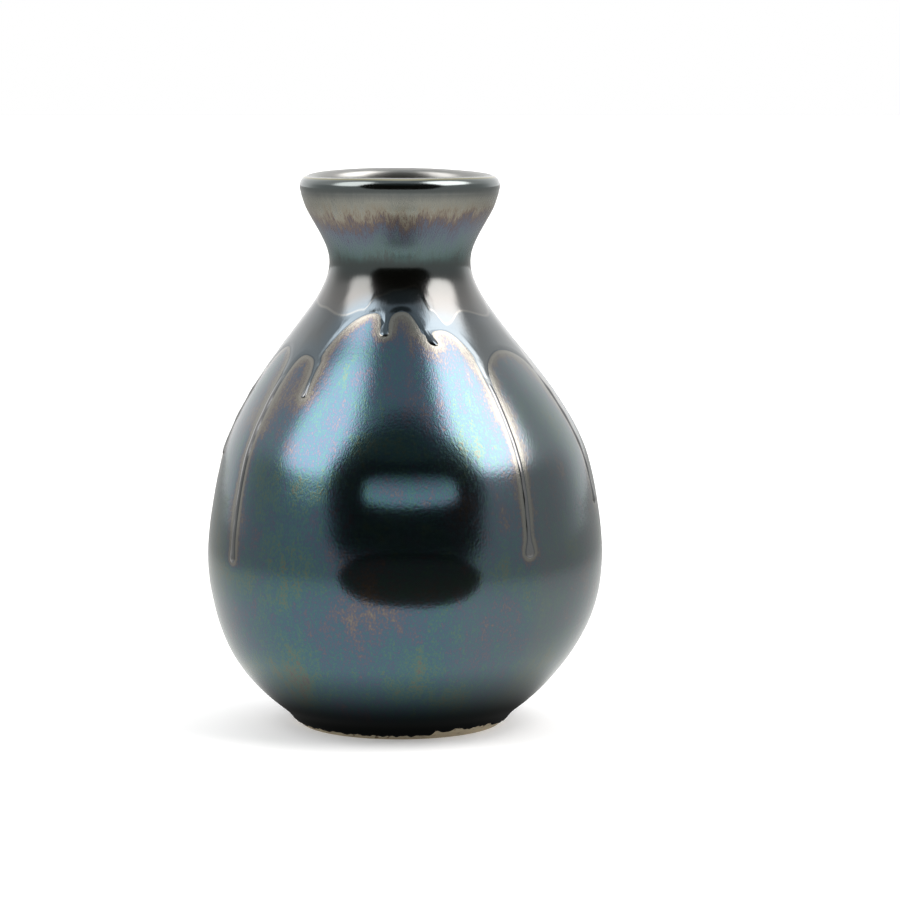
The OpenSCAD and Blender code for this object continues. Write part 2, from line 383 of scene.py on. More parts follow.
@dataclass
class Lattice:
    """A grid of points with its patterns, made into one closed mesh."""

    points: Array
    marks: dict[str, Array]
    wrap_rows: bool = False
    first_pole: Array | None = None
    last_pole: Array | None = None

    def faces(self) -> tuple[Array, Array]:
        """Quads between neighbouring rows and columns, and triangles to the poles."""
        rows, cols = self.points.shape[:2]
        index = np.arange(rows * cols).reshape(rows, cols)
        right = np.roll(index, -1, axis=1)
        low, low_right = (index, right) if self.wrap_rows else (index[:-1], right[:-1])
        high, high_right = (np.roll(a, -1, axis=0) if self.wrap_rows else a[1:] for a in (index, right))
        quads = np.stack([low, low_right, high_right, high], axis=-1).reshape(-1, 4)
        fans = []
        pole = rows * cols
        if self.first_pole is not None:
            fans.append(np.stack([right[0], index[0], np.full(cols, pole)], axis=-1))
            pole += 1
        if self.last_pole is not None:
            fans.append(np.stack([index[-1], right[-1], np.full(cols, pole)], axis=-1))
        return quads, np.concatenate(fans) if fans else np.zeros((0, 3), int)

    def mesh(self, name: str) -> bpy.types.Mesh:
        """Writes the points, faces and marks into a new mesh, shaded smooth."""
        poles = [p for p in (self.first_pole, self.last_pole) if p is not None]
        points = np.concatenate([self.points.reshape(-1, 3), *[p.reshape(1, 3) for p in poles]])
        quads, fans = self.faces()
        corners = np.concatenate([quads.ravel(), fans.ravel()]).astype(np.int32)
        starts = np.concatenate([np.arange(len(quads)) * 4, 4 * len(quads) + np.arange(len(fans)) * 3])
        mesh = bpy.data.meshes.new(name)
        mesh.vertices.add(len(points))
        mesh.vertices.foreach_set("co", points.astype(np.float32).ravel())
        mesh.loops.add(len(corners))
        mesh.loops.foreach_set("vertex_index", corners)
        mesh.polygons.add(len(starts))
        mesh.polygons.foreach_set("loop_start", starts.astype(np.int32))
        for mark, values in self.marks.items():
            width = 3 if values.ndim == 3 else 1
            flat = values.reshape(-1, width)
            flat = np.concatenate([flat, *[flat[-1:] if p is self.last_pole else flat[:1] for p in poles]])
            kind, key = ("FLOAT_VECTOR", "vector") if width == 3 else ("FLOAT", "value")
            mesh.attributes.new(mark, kind, "POINT").data.foreach_set(key, flat.astype(np.float32).ravel())
        mesh.update(calc_edges=True)
        mesh.validate()
        mesh.shade_smooth()
        return mesh


def add_piece(
    name: str, mesh: bpy.types.Mesh, material: bpy.types.Material, node: str
) -> bpy.types.Object:
    """Puts a mesh in the scene as the piece that stands for a CAD node.

    Args:
        name: the piece's name.
        mesh: its finished mesh, in the row frame.
        material: its finish.
        node: the CAD node that it replaces.

    Returns:
        The new object, riding on the bottle's body.
    """
    piece = bpy.data.objects.new(name, mesh)
    bpy.context.scene.collection.objects.link(piece)
    mesh.materials.append(material)
    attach(piece, BODY)
    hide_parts(node)
    LOG.info("%s: %d points, %d faces, stands for %s", name, len(mesh.vertices), len(mesh.polygons), node)
    return piece


# ------------------------------------------------------------------------------ the second glaze

@dataclass(frozen=True)
class Run:
    """A run of the second glaze: where it leaves the curtain, where it ends, and how fat it is."""

    LONG: ClassVar[float] = 16.0
    MEANDER: ClassVar[float] = 0.5

    node: str
    root_azimuth: float
    tip_azimuth: float
    root_z: float
    tip_z: float
    half_width: float = 1.0
    bead: float = 1.35
    relief: float = 0.5

    @property
    def is_long(self) -> bool:
        """Whether the run reaches well down the body."""
        return self.root_z - self.tip_z > self.LONG

    def azimuth_at(self, z: Array) -> Array:
        """The azimuth of the run's middle at a height: straight from root to tip, with a faint meander."""
        t = np.clip((self.root_z - z) / (self.root_z - self.tip_z), -0.3, 1.0)
        meander = self.MEANDER * np.sin(4.0 * t + self.root_azimuth) * np.clip(t, 0.0, 1.0) * self.is_long
        return self.root_azimuth + (self.tip_azimuth - self.root_azimuth) * t + meander

    def half_width_at(self, z: Array) -> Array:
        """Half of the run's width at a height: slim along its length and fat at its bead."""
        low = self.tip_z + self.bead
        return self.half_width + (self.bead - self.half_width) * bump(z, low, 1.6 * self.bead)


def centre_azimuth(points: Array) -> float:
    """Mean azimuth of some points, in degrees."""
    return math.degrees(math.atan2(points[:, 0].mean(), -points[:, 1].mean()))


def run_from_frame(node: str, **shape: float) -> Run:
    """Reads a run's root and tip from its CAD node.

    Args:
        node: name of the CAD node.
        shape: the run's own widths and relief, in millimetres.

    Returns:
        The run, with its directions and heights as in the frame.
    """
    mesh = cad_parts[node].data
    points = np.empty(len(mesh.vertices) * 3)
    mesh.vertices.foreach_get("co", points)
    points = points.reshape(-1, 3) / MM
    low, high = points[:, 2].min(), points[:, 2].max()
    reach = 0.3 * (high - low)
    root = centre_azimuth(points[points[:, 2] > high - reach])
    tip = centre_azimuth(points[points[:, 2] < low + min(reach, 2.0)])
    return Run(node, root, tip, float(high), float(low), **shape)


@dataclass(frozen=True)
class Arch:
    """The opening between two runs: how high it rises, and where its crown is between the two."""

    crown_z: float
    crown_share: float = 0.5
    left_foot_z: float = 89.0
    right_foot_z: float = 89.0


class Curtain:
    """The second glaze's lower edge: arches, and a run from each point between them."""

    ROUNDNESS = 2.0
    BLEND = 2.0
    EDGE_RISE = 1.6
    ROOT_REACH = 4.0
    LOOK = 12.0
    LOOK_STEP = 0.75

    def __init__(self, runs: list[Run], arches: list[Arch], outline: Outline) -> None:
        """Keeps the runs in order of azimuth and the arch to the right of each.

        Args:
            runs: the runs, from the front left one round to the left side.
            arches: the arch between each run and the next.
            outline: the outside of the base glaze.
        """
        self.runs = runs
        self.outline = outline
        self.start = runs[0].root_azimuth
        self.feet = np.array([(r.root_azimuth - self.start) % 360.0 for r in runs] + [360.0])
        # Rows: the crowns' heights, their shares, and the heights of the left and right feet
        self.arches = np.array([astuple(arch) for arch in arches]).T

    def edge_height(self, azimuth: Array) -> Array:
        """Height of the arches' edge: from each crown it falls to both feet along a fat ellipse."""
        a = (azimuth - self.start) % 360.0
        i = np.clip(np.searchsorted(self.feet, a, side="right") - 1, 0, len(self.runs) - 1)
        left, right = self.feet[i], self.feet[i + 1]
        crown_z, share, left_z, right_z = self.arches[:, i]
        crown = left + share * (right - left)
        on_left = a < crown
        t = np.where(on_left, (crown - a) / (crown - left), (a - crown) / (right - crown))
        foot_z = np.where(on_left, left_z, right_z)
        fall = 1.0 - (1.0 - np.clip(t, 0.0, 1.0) ** self.ROUNDNESS) ** (1.0 / self.ROUNDNESS)
        return crown_z - (crown_z - foot_z) * fall

    def run_distance(self, azimuth: Array, s: Array, z: Array) -> Array:
        """Distance inside the nearest run in millimetres: half its width less the way from its middle."""
        radius = self.outline.at(s)[0]
        best = np.full(np.broadcast(azimuth, s).shape, -60.0)
        for run in self.runs:
            sideways = np.radians(wrapped(azimuth - run.azimuth_at(z))) * radius
            below = np.maximum(self.outline.s_at(run.tip_z + run.bead) - s, 0.0)
            above = np.maximum(s - self.outline.s_at(run.root_z + self.ROOT_REACH), 0.0)
            inside = run.half_width_at(z) - np.hypot(sideways, np.maximum(below, above))
            best = np.maximum(best, inside)
        return best

    def distance(self, azimuth: Array, s: Array) -> Array:
        """Signed distance to the glaze's edge in millimetres, positive on the glaze.

        The arches' edge nearby is taken as short straight pieces on the unrolled surface, and the
        least distance to any of them is joined smoothly with the distance inside the nearest run.
        """
        radius, z = self.outline.at(s)
        nearest = np.full(np.broadcast(azimuth, s).shape, 60.0)
        here = self.outline.s_at(self.edge_height(azimuth))
        first = self.outline.s_at(self.edge_height(azimuth - self.LOOK))
        along = np.radians(self.LOOK_STEP) * radius
        for shift in np.arange(-self.LOOK, self.LOOK, self.LOOK_STEP):
            last = self.outline.s_at(self.edge_height(azimuth + shift + self.LOOK_STEP))
            start, rise = np.radians(shift) * radius, last - first
            t = np.clip(((s - first) * rise - start * along) / (along**2 + rise**2), 0.0, 1.0)
            nearest = np.minimum(nearest, np.hypot(start + t * along, first + t * rise - s))
            first = last
        arches = np.where(s > here, nearest, -nearest)
        return smooth_max(arches, self.run_distance(azimuth, s, z), self.BLEND)


@dataclass(frozen=True)
class Overlap:
    """The upper line of the shoulder, where a thicker dip of the second glaze ends in shallow scallops."""

    step: float = 0.05
    rise: float = 1.4
    knots: tuple[tuple[float, float], ...] = (
        (-60.0, 107.6), (-39.0, 106.2), (-25.0, 107.8), (-17.0, 111.0), (-2.0, 112.6), (12.0, 113.6),
        (21.0, 107.6), (28.0, 104.2), (42.0, 107.0), (66.0, 105.2), (92.0, 109.5), (124.0, 105.0),
        (150.0, 109.0), (178.0, 104.5), (208.0, 109.0), (236.0, 105.0), (268.0, 109.5),
    )

    def distance(self, azimuth: Array, height: Array) -> Array:
        """Height above the scalloped line, in millimetres."""
        return height - periodic(azimuth, self.knots)


# ----------------------------------------------------------------------------- shader graphs

@dataclass(frozen=True)
class Value:
    """A socket in a shader graph. Arithmetic on it adds Math nodes."""

    graph: "Graph"
    socket: bpy.types.NodeSocket

    def _math(self, operation: str, *inputs: Any) -> "Value":
        """One Math node."""
        return self.graph.node("ShaderNodeMath", {"operation": operation}, dict(enumerate(inputs)))

    def __add__(self, other: Any) -> "Value":
        """Sum."""
        return self._math("ADD", self, other)

    def __sub__(self, other: Any) -> "Value":
        """Difference."""
        return self._math("SUBTRACT", self, other)

    def __rsub__(self, other: Any) -> "Value":
        """Difference from a number."""
        return self._math("SUBTRACT", other, self)

    def __mul__(self, other: Any) -> "Value":
        """Product."""
        return self._math("MULTIPLY", self, other)

    def __truediv__(self, other: Any) -> "Value":
        """Quotient."""
        return self._math("DIVIDE", self, other)

    def __neg__(self) -> "Value":
        """Negative."""
        return self._math("MULTIPLY", self, -1.0)

    __radd__ = __add__
    __rmul__ = __mul__

    def power(self, exponent: float) -> "Value":
        """Power of a value that is not negative."""
        return self._math("POWER", self, exponent)

    def angle_to(self, other: "Value") -> "Value":
        """Angle in degrees of the direction with this value sideways and the other forward."""
        return self._math("ARCTAN2", self, other) * (180.0 / math.pi)

    def clamped(self) -> "Value":
        """The value held between 0 and 1."""
        return self.graph.node("ShaderNodeClamp", {}, {0: self, 1: 0.0, 2: 1.0})

    def step(self, low: float, high: float) -> "Value":
        """Smooth rise from 0 at low to 1 at high, or a fall where high is the smaller."""
        if high < low:
            return 1.0 - self.step(high, low)
        return self.graph.node("ShaderNodeMapRange", {"interpolation_type": "SMOOTHSTEP"},
                               {0: self, 1: low, 2: high, 3: 0.0, 4: 1.0})

    def bell(self, centre: float, width: float) -> "Value":
        """1 at the centre, falling smoothly to 0 at a width either side."""
        return self._math("ABSOLUTE", self - centre).step(width, 0.0)


class Graph:
    """A node tree that is built with one method."""

    def __init__(self, tree: bpy.types.NodeTree) -> None:
        """Starts from an empty tree."""
        self.tree = tree
        tree.nodes.clear()

    def node(
        self, kind: str, settings: dict[str, Any], inputs: dict[int | str, Any], out: int | str = 0
    ) -> Value:
        """Adds one node.

        Args:
            kind: the node's type.
            settings: properties to set first; "stops" holds a ramp's (place, colour) pairs.
            inputs: values or linked Values, by input index or name.
            out: which output to return.

        Returns:
            The chosen output.
        """
        made = self.tree.nodes.new(kind)
        for key, value in settings.items():
            if key == "stops":
                self._set_stops(made.color_ramp, value)
            else:
                setattr(made, key, value)
        for key, value in inputs.items():
            if isinstance(value, Value):
                self.tree.links.new(value.socket, made.inputs[key])
            else:
                made.inputs[key].default_value = value
        return Value(self, made.outputs[out]) if len(made.outputs) else Value(self, made.inputs[0])

    @staticmethod
    def _set_stops(ramp: bpy.types.ColorRamp, stops: list[tuple[float, Colour]]) -> None:
        """Fills a colour ramp."""
        while len(ramp.elements) < len(stops):
            ramp.elements.new(1.0)
        for element, (place, colour) in zip(ramp.elements, stops):
            element.position = place
            element.color = (*colour, 1.0)

    def mark(self, name: str) -> Value:
        """A number that the mesh carries."""
        return self.node("ShaderNodeAttribute", {"attribute_name": name}, {}, "Fac")

    def place(self, name: str) -> Value:
        """A vector that the mesh carries."""
        return self.node("ShaderNodeAttribute", {"attribute_name": name}, {}, "Vector")

    def stretched(self, vector: Value, scale: Scale) -> Value:
        """A vector scaled along each axis."""
        return self.node("ShaderNodeVectorMath", {"operation": "MULTIPLY"}, {0: vector, 1: scale})

    def noise(self, vector: Value, detail: float = 2.0, rough: float = 0.5) -> Value:
        """Noise between about 0 and 1 with features one unit across."""
        return self.node("ShaderNodeTexNoise", {"noise_dimensions": "3D"},
                         {"Vector": vector, "Scale": 1.0, "Detail": detail, "Roughness": rough}, "Fac")

    def ramp(self, value: Value, stops: list[tuple[float, Colour]]) -> Value:
        """Colour by a value between 0 and 1."""
        return self.node("ShaderNodeValToRGB", {"stops": stops}, {0: value}, "Color")

    def mix(self, factor: Value | float, a: Value | Colour, b: Value | Colour) -> Value:
        """Colour from a to b by a factor."""
        full = [x if isinstance(x, Value) else (*x, 1.0) for x in (a, b)]
        return self.node("ShaderNodeMix", {"data_type": "RGBA"}, {0: factor, 6: full[0], 7: full[1]}, 2)

    def bump(self, height: Value, distance: float) -> Value:
        """Normal from a height between 0 and 1 that stands for a distance in metres."""
        return self.node("ShaderNodeBump", {}, {"Height": height, "Distance": distance, "Strength": 1.0})

    def object_place(self) -> Value:
        """The place on the object, in metres."""
        return self.node("ShaderNodeTexCoord", {}, {}, "Object")

    def axes(self, vector: Value, names: str) -> list[Value]:
        """The named parts of a vector, such as X and Y for "XY"."""
        return [self.node("ShaderNodeSeparateXYZ", {}, {0: vector}, axis) for axis in names]

    def surface(self, constants: dict[str, Any], links: dict[str, Value]) -> None:
        """A Principled shader on the output, with constants on its sockets and the links that vary."""
        shader = self.node("ShaderNodeBsdfPrincipled", {}, {**constants, **links})
        self.node("ShaderNodeOutputMaterial", {}, {"Surface": shader})

    def glow(self, light: Value) -> None:
        """An Emission shader on the output."""
        shader = self.node("ShaderNodeEmission", {}, {"Color": light, "Strength": 1.0})
        self.node("ShaderNodeOutputMaterial", {}, {"Surface": shader})


def new_material(name: str) -> tuple[bpy.types.Material, Graph]:
    """A new material and the graph of its nodes, still empty."""
    made = bpy.data.materials.new(name)
    made.use_nodes = True
    return made, Graph(made.node_tree)


# ------------------------------------------------------------------------------------ finishes

class Coat(Enum):
    """The outer coats of glaze, by name."""

    BASE = "base_glaze"
    SECOND = "second_glaze"
    RUN = "run_glaze"


@dataclass(frozen=True)
class IridescentGlaze:
    """A dark metallic glaze whose colour follows the thickness of its film, as oil on water does.

    Colours are the share of light that the surface throws back head on. film_colours runs from thin
    to thick film; neck_colours runs by height from the foot of the shoulder to the lip. top_s is the
    outline's length. The scales stretch each noise round the bottle, across it and along its outline.
    """

    top_s: float
    film_colours: tuple[tuple[float, Colour], ...] = (
        (0.00, (0.205, 0.198, 0.175)), (0.14, (0.198, 0.186, 0.162)), (0.26, (0.172, 0.150, 0.138)),
        (0.36, (0.130, 0.124, 0.150)), (0.46, (0.096, 0.122, 0.172)), (0.56, (0.074, 0.132, 0.176)),
        (0.66, (0.072, 0.154, 0.164)), (0.76, (0.098, 0.162, 0.144)), (0.86, (0.130, 0.152, 0.124)),
        (0.94, (0.140, 0.130, 0.120)), (1.00, (0.116, 0.120, 0.136)),
    )
    neck_colours: tuple[tuple[float, Colour], ...] = (
        (86.0, (0.180, 0.178, 0.166)), (98.0, (0.170, 0.170, 0.162)), (105.0, (0.150, 0.154, 0.154)),
        (110.0, (0.132, 0.130, 0.126)), (115.0, (0.100, 0.103, 0.100)), (118.5, (0.096, 0.112, 0.110)),
        (121.0, (0.118, 0.172, 0.168)), (124.0, (0.126, 0.168, 0.186)), (127.0, (0.122, 0.140, 0.185)),
        (129.0, (0.130, 0.108, 0.118)), (130.4, (0.190, 0.150, 0.122)), (132.0, (0.275, 0.252, 0.205)),
        (134.2, (0.290, 0.288, 0.255)), (135.8, (0.200, 0.208, 0.198)), (136.8, (0.150, 0.166, 0.164)),
    )
    side_grey: Colour = (0.150, 0.156, 0.147)
    # Partly painted shade: the glaze darkens towards the foot for its thinner glaze there and for the table's
    # contact shadow that it mirrors.
    foot_thin_glaze_and_shade: Colour = (0.060, 0.068, 0.066)
    # Painted shadow: the thin dark line along the second glaze's edge.
    edge_shadow_line: Colour = (0.035, 0.045, 0.060)
    line_pale: Colour = (0.300, 0.290, 0.265)
    under_line: Colour = (0.070, 0.090, 0.105)
    run_pale: Colour = (0.195, 0.195, 0.195)
    lip_olive: Colour = (0.240, 0.220, 0.120)
    edge_blue: Colour = (0.125, 0.172, 0.210)
    upright_scale: Scale = (2.8, 2.8, 0.8)
    grain_scale: Scale = (2.4, 2.4, 1.4)
    mottle_scale: Scale = (0.42, 0.42, 0.15)
    cloud_scale: Scale = (0.055, 0.055, 0.05)
    fleck_scale: Scale = (1.3, 1.3, 0.9)
    relief_depth: float = 0.024
    base_rough: float = 0.165
    second_rough: float = 0.15
    lip_rough: float = 0.13
    collar_rough: float = 0.12

    def material(self, coat: Coat) -> bpy.types.Material:
        """Builds the material for one coat; the marks on its mesh say which glaze shows where.

        Args:
            coat: the coat, which gives the material its name.

        Returns:
            The material.
        """
        made, g = new_material(f"{coat.value}_finish")
        flow = g.place("unrolled")
        edge = g.mark("edge")
        height = g.mark("height")
        overlap = g.mark("overlap")
        upright = g.noise(g.stretched(flow, self.upright_scale), 3.0, 0.65)
        grain = g.noise(g.stretched(flow, self.grain_scale), 2.0, 0.65)
        on_neck = height.step(108.0, 118.0)
        fur = upright * on_neck + grain * (1.0 - on_neck)
        mottle = g.noise(g.stretched(flow, self.mottle_scale), 3.0, 0.6)
        cloud = g.noise(g.stretched(flow, self.cloud_scale), 2.0, 0.5)
        fleck = g.noise(g.stretched(flow, self.fleck_scale), 1.0, 0.5)
        base = self._base_colour(g, edge, height, fur, mottle, cloud, fleck)
        second = self._second_colour(g, edge, height, overlap, fur, mottle, cloud)
        on_second = edge.step(-0.12, 0.12)
        colour = g.mix(on_second, base, second)
        colour = self._rim_line(g, colour, flow, fur)
        rough = self._roughness(height, fur, on_second)
        relief = fur * (1.0 - 0.7 * on_second) + fleck * 0.25 + mottle * 0.15
        normal = g.bump(relief, self.relief_depth * MM)
        g.surface({"Metallic": 1.0, "IOR": 1.5, "Specular IOR Level": 0.5},
                  {"Base Color": colour, "Roughness": rough, "Normal": normal})
        LOG.info("material %s", made.name)
        return made

    def _base_colour(self, g: Graph, edge: Value, height: Value, fur: Value,
                     mottle: Value, cloud: Value, fleck: Value) -> Value:
        """The base glaze: a halo of thin film beside the second glaze, then mottled blue and teal."""
        reach = 1.0 - 0.45 * height.step(88.0, 72.0)
        away = (-edge) / reach
        film = 0.16 * away.step(0.2, 1.5) + 0.28 * away.step(1.2, 3.2) + 0.14 * away.step(3.0, 7.0)
        film = film + 0.8 * (cloud - 0.5) + 0.6 * (mottle - 0.5) + 0.9 * (fur - 0.5) + 0.2 * (fleck - 0.5)
        film = film - 0.07 * height.bell(31.0, 11.0) + 0.05 * height.bell(16.0, 9.0)
        colour = g.ramp(film.clamped(), list(self.film_colours))
        front = g.mark("window")
        strength = 0.25 + 0.75 * front
        colour = g.mix(strength.clamped(), self.side_grey, colour)
        # Partly painted shade: dark towards the foot, for the thinner glaze and for the shadowed table close
        # under the foot that the glaze mirrors.
        colour = g.mix(height.step(9.0, 3.5), colour, self.foot_thin_glaze_and_shade)
        pale = edge.bell(-0.6, 0.7)
        return g.mix((pale * (0.12 + 0.3 * front)).clamped(), colour, self.line_pale)

    def _second_colour(self, g: Graph, edge: Value, height: Value, overlap: Value, fur: Value,
                       mottle: Value, cloud: Value) -> Value:
        """The second glaze: bands by height with streaked borders, and a painted shadow line at its edges."""
        low, high = self.neck_colours[0][0], self.neck_colours[-1][0]
        steady = height.step(118.0, 122.0) * height.step(135.0, 131.5)
        streaks = 8.0 * (mottle - 0.5) + 12.0 * (fur - 0.5) + 10.0 * (cloud - 0.5)
        level = height + streaks * (0.12 + 0.88 * steady)
        share = ((level - low) / (high - low)).clamped()
        stops = [((z - low) / (high - low), colour) for z, colour in self.neck_colours]
        colour = g.ramp(share, stops)
        blue = edge.step(7.0, 1.5) * g.mark("window")
        colour = g.mix((0.6 * blue).clamped(), colour, self.edge_blue)
        run = height.step(92.0, 86.0)
        colour = g.mix(run, colour, self.run_pale)
        # Painted shadow: a thin dark line just inside the second glaze's edge.
        rim = edge.step(-0.1, 0.08) * edge.step(0.5, 0.2)
        colour = g.mix((0.5 * rim).clamped(), colour, self.edge_shadow_line)
        under = overlap.step(0.2, -0.6) * height.step(92.0, 97.0)
        colour = g.mix((0.35 * under).clamped(), colour, self.under_line)
        line = overlap.bell(-0.1, 0.5) * height.step(92.0, 97.0)
        return g.mix((0.35 * line).clamped(), colour, self.line_pale)

    def _rim_line(self, g: Graph, colour: Value, flow: Value, fur: Value) -> Value:
        """A thin olive line where the glaze breaks over the lip's edge."""
        along, = g.axes(flow, "Z")
        from_top = self.top_s - along
        line = from_top.bell(1.0, 0.75) * (0.6 + 0.8 * fur)
        return g.mix((0.9 * line).clamped(), colour, self.lip_olive)

    def _roughness(self, height: Value, fur: Value, on_second: Value) -> Value:
        """Satin on the base glaze, smoother on the second glaze, dull on the collar, glossy on the lip."""
        rough = self.base_rough + 0.10 * (fur - 0.5) + (self.second_rough - self.base_rough) * on_second
        collar = height.step(117.0, 121.0) * height.step(136.4, 135.0)
        rough = rough + self.collar_rough * collar
        return rough + (self.lip_rough - self.second_rough) * height.step(135.4, 136.4)


@dataclass(frozen=True)
class LinerGlaze:
    """The dark glaze inside: metallic in the mouth, black and glossy further down."""

    mouth: Colour = (0.27, 0.27, 0.26)
    deep: Colour = (0.018, 0.018, 0.020)
    rough: float = 0.34

    def material(self, name: str) -> bpy.types.Material:
        """Builds the material."""
        made, g = new_material(name)
        flow = g.place("unrolled")
        height = g.mark("height")
        fur = g.noise(g.stretched(flow, (1.6, 1.6, 0.35)), 2.0, 0.6)
        wave = g.noise(g.stretched(flow, (0.3, 0.3, 0.3)), 2.0, 0.5)
        share = (height + 5.0 * (wave - 0.5)).step(112.0, 130.0)
        colour = g.mix(share, self.deep, self.mouth)
        rough = self.rough + 0.10 * (fur - 0.5)
        g.surface({"Metallic": 1.0}, {"Base Color": colour, "Roughness": rough,
                                     "Normal": g.bump(wave + 0.3 * fur, 0.02 * MM)})
        return made


@dataclass(frozen=True)
class BareClay:
    """Dry buff stoneware with iron specks and the marks of turning."""

    clay: Colour = (0.44, 0.38, 0.27)
    dark: Colour = (0.28, 0.23, 0.15)
    speck: Colour = (0.12, 0.08, 0.05)
    rough: float = 0.86

    def material(self, name: str) -> bpy.types.Material:
        """Builds the material."""
        made, g = new_material(name)
        at = g.stretched(g.object_place(), (1 / MM, 1 / MM, 1 / MM))
        grain = g.noise(g.stretched(at, (1.6, 1.6, 1.6)), 3.0, 0.7)
        patch = g.noise(g.stretched(at, (0.09, 0.09, 0.09)), 2.0, 0.5)
        iron = g.noise(g.stretched(at, (0.9, 0.9, 0.9)), 0.0, 0.5).step(0.74, 0.80)
        colour = g.mix((0.6 * patch + 0.3 * grain).clamped(), self.clay, self.dark)
        colour = g.mix((0.8 * iron).clamped(), colour, self.speck)
        rough = self.rough + 0.10 * (grain - 0.5)
        g.surface({"Metallic": 0.0, "Specular IOR Level": 0.3},
                  {"Base Color": colour, "Roughness": rough, "Normal": g.bump(grain, 0.06 * MM)})
        return made


# ------------------------------------------------------------------------------- the pieces

@dataclass
class ClayBody:
    """The thrown body: foot ring, hollow foot, wall and rounded lip, as one closed turned solid."""

    form: BottleForm
    hand: ThrowersHand
    columns: int = 384
    ring_round: float = 0.7
    hollow_crown: float = 0.15
    wall_low: float = 1.2
    end_gap: float = 0.6
    marked_r: float = 10.0
    inset: float = 0.02
    finish: BareClay = field(default_factory=BareClay)

    def profile(self, outside: Outline, inside: Outline) -> Array:
        """Rows of radius and height: under the foot, round its ring, up outside and down inside."""
        f = self.form
        ring_in, ring_out = f.foot_r - f.foot_ring, f.foot_r - f.foot_chamfer
        under = np.array([
            [0.6, f.foot_hollow + self.hollow_crown], [6.0, f.foot_hollow + 0.1], [12.0, f.foot_hollow],
            [ring_in - 2.0, f.foot_hollow - 0.05], [ring_in - 1.1, f.foot_hollow - 0.35],
            [ring_in - 0.5, f.foot_hollow / 2], [ring_in - 0.1, 0.45],
        ])
        a = np.radians(np.linspace(0.0, 90.0, 6))
        r = self.ring_round
        inner_edge = np.stack([ring_in + r - r * np.cos(a), r - r * np.sin(a)], axis=1)
        outer_edge = np.stack([ring_out - r + r * np.sin(a), r - r * np.cos(a)], axis=1)
        flat = np.linspace(ring_in + r, ring_out - r, 6)[1:-1]
        ring = np.stack([flat, np.zeros_like(flat)], axis=1)
        low, high = outside.s_at(self.wall_low), outside.length - self.end_gap
        wall = self._moved(outside, -f.base_t - self.inset, low, high, 150)
        lining = self._moved(inside, f.liner_t + self.inset, 1.0, inside.length - self.end_gap, 100)[::-1]
        top = np.array([[f.lip_r - f.lip_t / 2, f.height - f.base_t - self.inset]])
        return np.concatenate([under, inner_edge, ring, outer_edge, wall, top, lining])

    @staticmethod
    def _moved(outline: Outline, lift: float, low: float, high: float, count: int) -> Array:
        """Part of an outline moved along its normal."""
        s = np.linspace(low, high, count)
        radius, height = outline.at(s)
        out, up = outline.normal(s)
        return np.stack([radius + out * lift, height + up * lift], axis=1)

    def build(self, outside: Outline, inside: Outline) -> None:
        """Turns the profile round the axis, with the hand's marks on its wall."""
        profile = self.profile(outside, inside)
        radius, height = (np.repeat(profile[:, k:k + 1], self.columns, axis=1) for k in (0, 1))
        azimuth = np.repeat(azimuths(self.columns), len(profile), axis=0)
        radius = radius + self.hand.wobble(azimuth, height) * (radius > self.marked_r)
        x, y = turned(azimuth, radius)
        points = self.hand.shaped(x, y, height, azimuth)
        f = self.form
        middles = (f.foot_hollow + self.hollow_crown, f.floor_z - f.liner_t)
        ends = [np.array([0.0, 0.0, z * MM]) for z in middles]
        mesh = Lattice(points, {}, first_pole=ends[0], last_pole=ends[1]).mesh("clay_body_form")
        add_piece("clay_form", mesh, self.finish.material("bare_clay"), "clay_body")


@dataclass
class LinerCoat:
    """The glaze inside the bottle, from its floor to the top of the lip."""

    form: BottleForm
    columns: int = 320
    rows: int = 150
    back_rows: int = 40
    sink: float = 0.05
    first_ring: float = 0.8
    finish: LinerGlaze = field(default_factory=LinerGlaze)

    def build(self, skin: Skin) -> None:
        """A thin closed shell: the seen face from floor to lip, and its back, sunk into the clay."""
        outline = skin.outline
        front = np.linspace(self.first_ring, outline.length, self.rows)
        back = np.linspace(outline.length, self.first_ring, self.back_rows)
        s = np.concatenate([front, back])
        depth = np.concatenate([np.zeros(self.rows), np.full(self.back_rows, self.form.liner_t + self.sink)])
        azimuth, s = np.meshgrid(azimuths(self.columns), s)
        depth = np.repeat(depth[:, None], self.columns, axis=1)
        points = skin.place(azimuth, s, depth)[::-1]
        marks = {"unrolled": skin.unrolled(azimuth, s)[::-1], "height": outline.at(s)[1][::-1]}
        floor = self.form.floor_z
        poles = [np.array([0.0, 0.0, z * MM]) for z in (floor - self.form.liner_t - self.sink, floor)]
        mesh = Lattice(points, marks, first_pole=poles[0], last_pole=poles[1]).mesh("liner_glaze_form")
        add_piece("liner_coat", mesh, self.finish.material("liner_glaze_finish"), "liner_glaze")


